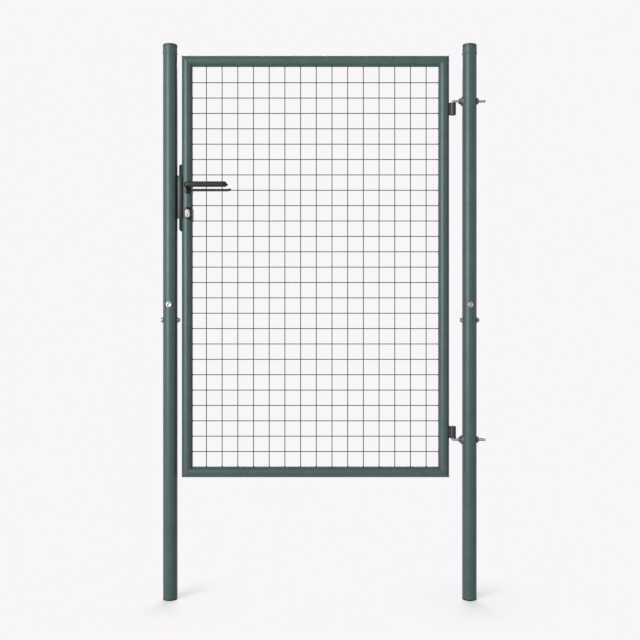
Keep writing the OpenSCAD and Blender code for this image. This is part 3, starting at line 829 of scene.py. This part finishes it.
def lock():
    """The lock case in the stile, with its front plate, fixing screws and bolts."""
    case_low, case_high, _ = box("lock_case")
    plate_low, plate_high, _ = box("lock_front_plate")
    corners = [(plate_low.x, case_low.z), (case_high.x, case_low.z), (case_high.x, case_high.z),
               (plate_low.x, case_high.z)]
    outline = rounded(corners, [9, 0, 0, 5], 12)
    depth = case_high.y - case_low.y
    place = at(0, case_high.y, 0, FACING_FRONT)
    case = bmesh.new()
    prism(case, between(outline, case_low.x + 0.15, case_high.x), place, depth, EDGE)
    piece("lock_case_shell", case, "leaf", black_metal, ["lock_case"])

    plate, openings = bmesh.new(), bmesh.new()
    prism(plate, between(outline, plate_low.x, plate_high.x), place, depth, EDGE)
    for node in ("latch_bolt", "dead_bolt"):
        low, high = grown(node, 0.3, out=3)
        block(openings, low, high, 0.6)
    screws = bmesh.new()
    for z in (case_low.z + 19, case_high.z - 12):
        seat = at(plate_low.x, 0, z, along((0, 0, 0), -RIGHT))
        countersunk(screws, seat, LOCK_SCREW_HEAD, LOCK_SCREW_SHANK, LOCK_SCREW_LONG)
        countersunk_hole(openings, seat, LOCK_SCREW_HEAD, LOCK_SCREW_SHANK, 0.15)
    plate = carve(plate, openings)
    piece("lock_front_plate_drilled", plate, "leaf", black_metal, ["lock_front_plate"])
    piece("lock_front_screws", screws, "leaf", zinc)

    low, high, _ = box("latch_bolt")
    bevelled = [(low.x, low.y + 2.6), (low.x + 3.2, low.y), (high.x, low.y), (high.x, high.y),
                (low.x, high.y)]
    bolt = bmesh.new()
    prism(bolt, rounded(bevelled, [0.6, 0.6, 0, 0, 0.6]), at(0, 0, low.z), high.z - low.z, 0.5)
    piece("latch_bolt_bevelled", bolt, "latch", nickel, ["latch_bolt"])
    low, high, _ = box("dead_bolt")
    bolt = bmesh.new()
    block(bolt, low, high, 0.8)
    piece("dead_bolt_rounded", bolt, "leaf", nickel, ["dead_bolt"])


def lock_cylinder():
    """An oval lock cylinder: a round plug with a ring groove and a keyway at the bottom of each face."""
    low, high, middle = box("lock_cylinder")
    plug = (high.x - low.x) / 2
    neck = plug - 0.75
    key_z = low.z + plug
    rise = high.z - neck - key_z
    waist = math.degrees(math.acos(neck / plug))
    outline = arc((0, rise), neck, 0, 180, 16) + arc((0, 0), plug, 180 - waist, 360 + waist, 40)
    bm, cuts = bmesh.new(), bmesh.new()
    prism(bm, outline, at(middle.x, high.y, key_z, FACING_FRONT), high.y - low.y, 0.7)
    for face, turn in ((low.y, FACING_FRONT), (high.y, FACING_REAR)):
        place = at(middle.x, face, key_z, turn)
        groove = [(GROOVE_INNER, 1), (GROOVE_OUTER, 1), (GROOVE_OUTER, -0.5), (GROOVE_INNER, -0.5)]
        lathe(cuts, place, groove, 48)
        prism(cuts, KEYWAY, place @ Matrix.Translation((0, 0, -7)), 8)
    bm = carve(bm, cuts)
    piece("lock_cylinder_keyed", bm, "leaf", nickel, ["lock_cylinder"])


# ---- covers

COVER_RIM = 1.8
COVER_RIGHT = 6.0  # radius of a cover's corners towards the mesh
COVER_SECTIONS = 48
HUG_MARGIN = 3.2  # width of a cover below the cylinder's plug
STEP_START, STEP_WIDE = 3.0, 5.0  # where the lower edge leaves the plug, and over what width


def smoothstep(share):
    """0 to 1 with a soft start and end."""
    share = min(max(share, 0), 1)
    return share * share * (3 - 2 * share)


def cover(node, left, hug=None):
    """A moulded cover that wraps the stile: curved with it, with soft rims and rounded corners.
    left is the radius of its corners towards the latch post. hug is a round part that the lower
    edge follows until it steps down to the full depth beside that part."""
    low, high, _ = box(node)
    _, stile_high, stile_middle = box("latch_stile")
    stile = stile_middle.x
    side = -1 if low.y < 0 else 1
    front = max(abs(low.y), abs(high.y))
    back = min(abs(low.y), abs(high.y))
    end_x = min(high.x, stile_high.x + 0.5)

    def drop(distance, radius):
        """How far an edge rounded by radius falls back at a distance from its end."""
        return radius - math.sqrt(radius ** 2 - max(radius - distance, 0) ** 2)

    rings = []
    for k in range(COVER_SECTIONS + 1):
        x = low.x + (end_x - low.x) * (1 - math.cos(math.pi * k / COVER_SECTIONS)) / 2
        from_left, from_right = x - low.x, end_x - x
        corner = max(drop(from_left, left), drop(from_right, COVER_RIGHT))
        top, bottom = high.z - corner, low.z + corner
        if hug:
            centre_x, centre_z, radius = hug
            round_edge = centre_z - math.sqrt(max(radius ** 2 - (x - centre_x) ** 2, 0))
            step = smoothstep((x - centre_x - STEP_START) / STEP_WIDE)
            bottom = max(bottom, round_edge + (low.z - round_edge) * step)
        face = math.sqrt(front ** 2 - (x - stile) ** 2)
        face -= drop(min(from_left, from_right), COVER_RIM)
        turns = [math.pi / 2 * i / 6 for i in range(7)]
        swing = [(COVER_RIM * (1 - math.cos(t)), face - COVER_RIM * (1 - math.sin(t))) for t in turns]
        upper = [(top - in_z, y) for in_z, y in swing]
        lower = [(bottom + in_z, y) for in_z, y in swing]
        section = [(top, back)] + upper + lower[::-1] + [(bottom, back)]
        rings.append([(x, side * y, z) for z, y in section])
    bm = bmesh.new()
    skin(bm, rings)
    piece(f"{node}_moulded", bm, "leaf", cover_plastic, [node])


def cylinder_hug():
    """The round plug of the lock cylinder, with the margin that its covers leave round it."""
    low, high, middle = box("lock_cylinder")
    plug = (high.x - low.x) / 2
    return middle.x, low.z + plug, plug + HUG_MARGIN


# ---- levers

LEVER_TIP = 18.0  # outer radius of the bend at the tip
TIP_MIDDLE = 12.0  # radius of the bend's middle line
LEVER_RETURN = 27.0  # how far the tip turns back towards the leaf
NECK_BEND = 6.0  # radius of the bend from the neck into the bar
FOOT_ENDS = (18.6, 24.5)  # where the neck is wider, from the leaf's middle plane
FOOT_WIDER = 1.2
NECK_STATIONS = (26, 32, 40, 48)  # sections of the neck, from the same plane
ROUND, FLAT = 2, 3.2  # powers of a section's curve: a circle, and the bar's flatter sides
BAR_HALF_HIGH = {"front_lever": 8.75, "rear_lever": 4.1}
RETURN_HALF_HIGH = 3.3
NARROW_START, NARROW_OVER = 0.5, 0.28  # where on the bend the bar narrows, as shares of it


def lever_stations(reach, face, neck, half_high):
    """Sections of a lever from its foot to its tip: (x from the spindle, distance from the leaf's
    middle plane, half height, half thickness, power of its curve)."""
    half_thick = LEVER_TIP - TIP_MIDDLE
    stand = face - half_thick
    foot = neck + FOOT_WIDER
    stations = [(0, y, foot, foot, ROUND) for y in FOOT_ENDS]
    stations += [(0, y, neck, neck, ROUND) for y in NECK_STATIONS]
    for i, (x, y) in enumerate(arc((NECK_BEND, stand - NECK_BEND), NECK_BEND, 180, 90, 8)):
        ease = smoothstep(i / 8)
        high, thick = neck + (half_high - neck) * ease, neck + (half_thick - neck) * ease
        stations.append((x, y, high, thick, ROUND + (FLAT - ROUND) * ease))
    straight = reach - LEVER_TIP - NECK_BEND
    stations += [(NECK_BEND + straight * i / 12, stand, half_high, half_thick, FLAT) for i in range(1, 12)]
    for i, (x, y) in enumerate(arc((reach - LEVER_TIP, face - LEVER_TIP), TIP_MIDDLE, 90, 0, 14)):
        share = i / 14
        narrow = smoothstep((share - NARROW_START) / NARROW_OVER)
        high = half_high + (RETURN_HALF_HIGH - half_high) * narrow
        stations.append((x, y, high, half_thick - 0.6 * share, FLAT - 0.9 * share))
    x, y, high, thick, power = stations[-1]
    left = y - (face - LEVER_RETURN)
    for share in (0.2, 0.4, 0.6):
        stations.append((x, y - left * share, high * (1 - 0.2 * share), thick, power))
    high = stations[-1][2]
    for share in (0.4, 0.7, 0.9, 0.98):
        size = math.sqrt(1 - share ** 2)
        stations.append((x, y - left * (0.6 + 0.4 * share), high * (0.3 + 0.7 * size),
                         thick * (0.2 + 0.8 * size), power))
    return stations


def lever(node):
    """A lever swept from a round neck into a flat bar that bends back at its tip and tapers there."""
    low, high, _ = box(node)
    spindle = box("spindle")[2]
    side = -1 if node == "front_lever" else 1
    neck = spindle.x - low.x
    face = max(abs(low.y), abs(high.y))
    stations = lever_stations(high.x - spindle.x, face, neck, BAR_HALF_HIGH[node])

    def section(i):
        half_high, half_thick, power = stations[i][2:]
        points = []
        for k in range(32):
            c, s = math.cos(math.tau * k / 32), math.sin(math.tau * k / 32)
            up = half_high * math.copysign(abs(c) ** (2 / power), c)
            out = half_thick * math.copysign(abs(s) ** (2 / power), s)
            points.append((up, out))
        return points

    path = [Vector((spindle.x + x, side * y, spindle.z)) for x, y, *_ in stations]
    bm = bmesh.new()
    sweep(bm, path, section, UP)
    piece(f"{node}_moulded", bm, "handle", lever_plastic, [node], smooth=50)


# ---- build

for name in ("hinge_post", "latch_post"):
    post_tubes(name)
    post_cap(name)
    foot_plug(name)
    joint_bolts(name)

for name, turn in (("upper_hinge", -1), ("lower_hinge", 1)):
    height = hinge_stud(name, turn)
    hinge_saddle(name, height)
    hinge_fasteners(name, height)
    hinge_sleeve(name)

leaf_frame()
mesh_panel()
strike()
lock()
lock_cylinder()
for side in ("front", "rear"):
    cover(f"{side}_cylinder_cover", 9, hug=cylinder_hug())
    cover(f"{side}_spindle_cover", 6)
    lever(f"{side}_lever")


# ---- studio, in metres

BACKGROUND = (0.947, 0.921, 0.947)
CAMERA = (-0.478, -2.870, 0.893)
SENSOR, LENS = 36, 50.45
AIM = (-0.478, 0, 0.9)  # about the middle of the gate, where the lamps point
AMBIENT = 0.08  # the world's even light
SHADOW_REACH = 0.3  # how far round a foot the floor takes the shadow
FLOOR_LEVEL = 0.505  # light that the open floor sends back, next to a white of 1


def seen_directly(tree):
    """1 for what the camera, a mirror or glass sees, 0 for light that falls on the object."""
    rays = tree.nodes.new("ShaderNodeLightPath").outputs
    total = rays["Is Camera Ray"]
    for name in ("Is Glossy Ray", "Is Transmission Ray"):
        step = tree.nodes.new("ShaderNodeMath")
        step.operation = "MAXIMUM"
        tree.links.new(total, step.inputs[0])
        tree.links.new(rays[name], step.inputs[1])
        total = step.outputs[0]
    return total


def studio_world():
    """Low even light, and the backdrop's colour for whatever is seen directly."""
    world = bpy.data.worlds.new("studio")
    world.use_nodes = True
    tree = world.node_tree
    light = tree.nodes["Background"]
    light.inputs["Color"].default_value = (AMBIENT, AMBIENT, AMBIENT, 1)
    backdrop = tree.nodes.new("ShaderNodeBackground")
    backdrop.inputs["Color"].default_value = (*BACKGROUND, 1)
    mix = tree.nodes.new("ShaderNodeMixShader")
    tree.links.new(seen_directly(tree), mix.inputs["Fac"])
    tree.links.new(light.outputs[0], mix.inputs[1])
    tree.links.new(backdrop.outputs[0], mix.inputs[2])
    tree.links.new(mix.outputs[0], tree.nodes["World Output"].inputs["Surface"])
    bpy.context.scene.world = world


def studio_floor(feet):
    """A floor of the backdrop's colour. Near a foot it is a real surface that takes the gate's
    shadow, with a glow that brings it to the backdrop's level."""
    bm = bmesh.new()
    bmesh.ops.create_grid(bm, x_segments=1, y_segments=1, size=40)
    mesh = bpy.data.meshes.new("floor")
    bm.to_mesh(mesh)
    bm.free()
    floor = bpy.data.objects.new("floor", mesh)
    bpy.context.scene.collection.objects.link(floor)

    material = bpy.data.materials.new("floor")
    material.use_nodes = True
    tree = material.node_tree
    tree.nodes.clear()
    place = tree.nodes.new("ShaderNodeTexCoord")
    nearest = None
    for foot in feet:
        distance = tree.nodes.new("ShaderNodeVectorMath")
        distance.operation = "DISTANCE"
        distance.inputs[1].default_value = foot
        tree.links.new(place.outputs["Object"], distance.inputs[0])
        if nearest is None:
            nearest = distance.outputs["Value"]
            continue
        smaller = tree.nodes.new("ShaderNodeMath")
        smaller.operation = "MINIMUM"
        tree.links.new(nearest, smaller.inputs[0])
        tree.links.new(distance.outputs["Value"], smaller.inputs[1])
        nearest = smaller.outputs[0]
    fade = tree.nodes.new("ShaderNodeMapRange")
    fade.interpolation_type = "SMOOTHSTEP"
    fade.inputs["From Max"].default_value = SHADOW_REACH
    tree.links.new(nearest, fade.inputs["Value"])

    def glow(share):
        node = tree.nodes.new("ShaderNodeEmission")
        node.inputs["Color"].default_value = (*[c - (1 - share) * FLOOR_LEVEL for c in BACKGROUND], 1)
        return node.outputs[0]

    def blend(kind, *inputs):
        node = tree.nodes.new(kind)
        for source, socket in zip(inputs, node.inputs):
            tree.links.new(source, socket)
        return node.outputs[0]

    surface = tree.nodes.new("ShaderNodeBsdfDiffuse")
    surface.inputs["Color"].default_value = (0.8, 0.8, 0.8, 1)
    lit = blend("ShaderNodeAddShader", surface.outputs[0], glow(0))
    seen = blend("ShaderNodeMixShader", fade.outputs["Result"], lit, glow(1))
    both = blend("ShaderNodeMixShader", seen_directly(tree), surface.outputs[0], seen)
    output = tree.nodes.new("ShaderNodeOutputMaterial")
    tree.links.new(both, output.inputs["Surface"])
    mesh.materials.append(material)


def softbox(name, place, width, height, power):
    """A rectangular lamp at place that points at AIM."""
    light = bpy.data.lights.new(name, "AREA")
    light.shape = "RECTANGLE"
    light.size = width
    light.size_y = height
    light.energy = power
    obj = bpy.data.objects.new(name, light)
    obj.location = place
    obj.rotation_euler = (Vector(AIM) - Vector(place)).to_track_quat("-Z", "Y").to_euler()
    bpy.context.scene.collection.objects.link(obj)


def studio_camera():
    """A level camera, square on to the closed leaf."""
    lens = bpy.data.cameras.new("camera")
    lens.sensor_width = SENSOR
    lens.lens = LENS
    camera = bpy.data.objects.new("camera", lens)
    camera.location = CAMERA
    camera.rotation_euler = (math.pi / 2, 0, 0)
    bpy.context.scene.collection.objects.link(camera)
    bpy.context.scene.camera = camera


studio_world()
studio_floor([tuple(box(f"{post}_foot_plug")[2] * MM) for post in ("hinge_post", "latch_post")])
softbox("key", (-5.77, -7.28, 2.6), 6.0, 4.8, 900)
softbox("fill", (8.22, -2.33, 2.4), 3.0, 4.2, 50)
softbox("rear", (-0.478, 8.6, 5.6), 8.0, 3.0, 550)
studio_camera()
bpy.context.scene.view_settings.view_transform = "Standard"
